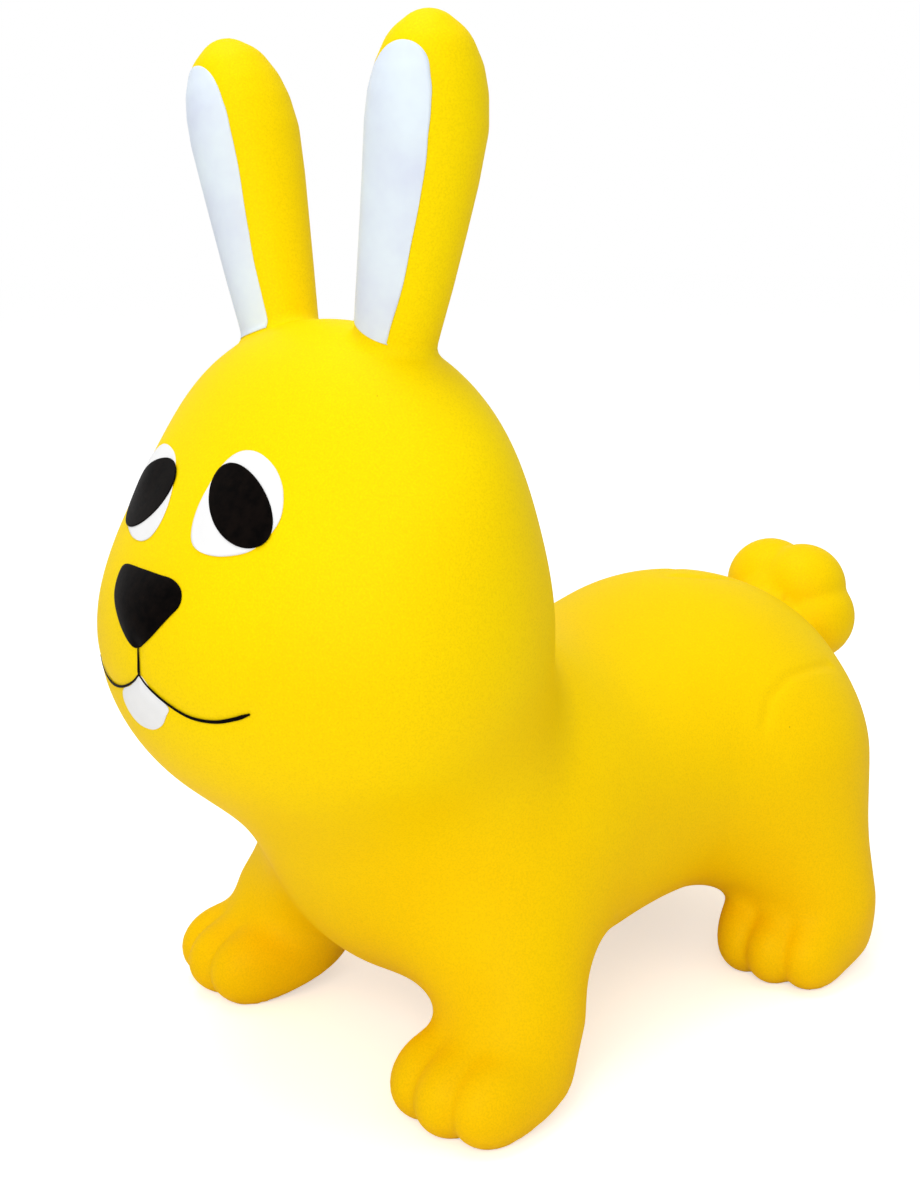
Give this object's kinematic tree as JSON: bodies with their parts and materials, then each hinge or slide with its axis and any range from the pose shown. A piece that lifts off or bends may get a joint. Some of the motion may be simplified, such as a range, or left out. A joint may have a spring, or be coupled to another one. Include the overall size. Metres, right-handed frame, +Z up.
{
  "type": "ride-on bunny hopper",
  "caption": "Inflated ride-on toy shaped as a standing bunny, with soft bending ears to hold, a painted face, a round tail and an air valve plug under the belly.",
  "frame": {"origin": "on the floor under the middle of the toy's length and width", "axes": "+Z up, the bunny faces -Y, its left side is +X"},
  "size_m": [0.3174, 0.5698, 0.6],
  "materials": {
    "yellow_vinyl": "matte soft vinyl with a fine grain",
    "white_paint": "matte paint",
    "black_paint": "satin paint",
    "plug_vinyl": "milky soft vinyl"
  },
  "bodies": {
    "toy": {"body_skin": "yellow_vinyl", "eye_white_left": "white_paint", "pupil_left": "black_paint", "eye_white_right": "white_paint", "pupil_right": "black_paint", "nose": "black_paint", "mouth_line": "black_paint", "tooth": "white_paint"},
    "left_ear": {"ear_left": "yellow_vinyl", "ear_lining_left": "white_paint"},
    "right_ear": {"ear_right": "yellow_vinyl", "ear_lining_right": "white_paint"},
    "plug": {"valve_plug": "plug_vinyl"}
  },
  "joints": [
    {"name": "left_ear_flex", "type": "hinge", "parent": "toy", "child": "left_ear", "pos_m": [0.05373, -0.15036, 0.43592], "axis": [1, 0, 0], "range_deg": [-20, 20], "stiffness_Nm_per_rad": 2},
    {"name": "right_ear_flex", "type": "hinge", "parent": "toy", "child": "right_ear", "pos_m": [-0.05373, -0.15036, 0.43592], "axis": [1, 0, 0], "range_deg": [-20, 20], "stiffness_Nm_per_rad": 2},
    {"name": "plug_pull", "type": "slide", "parent": "toy", "child": "plug", "axis": [0, 0, -1], "range_m": [0, 0.02]}
  ]
}
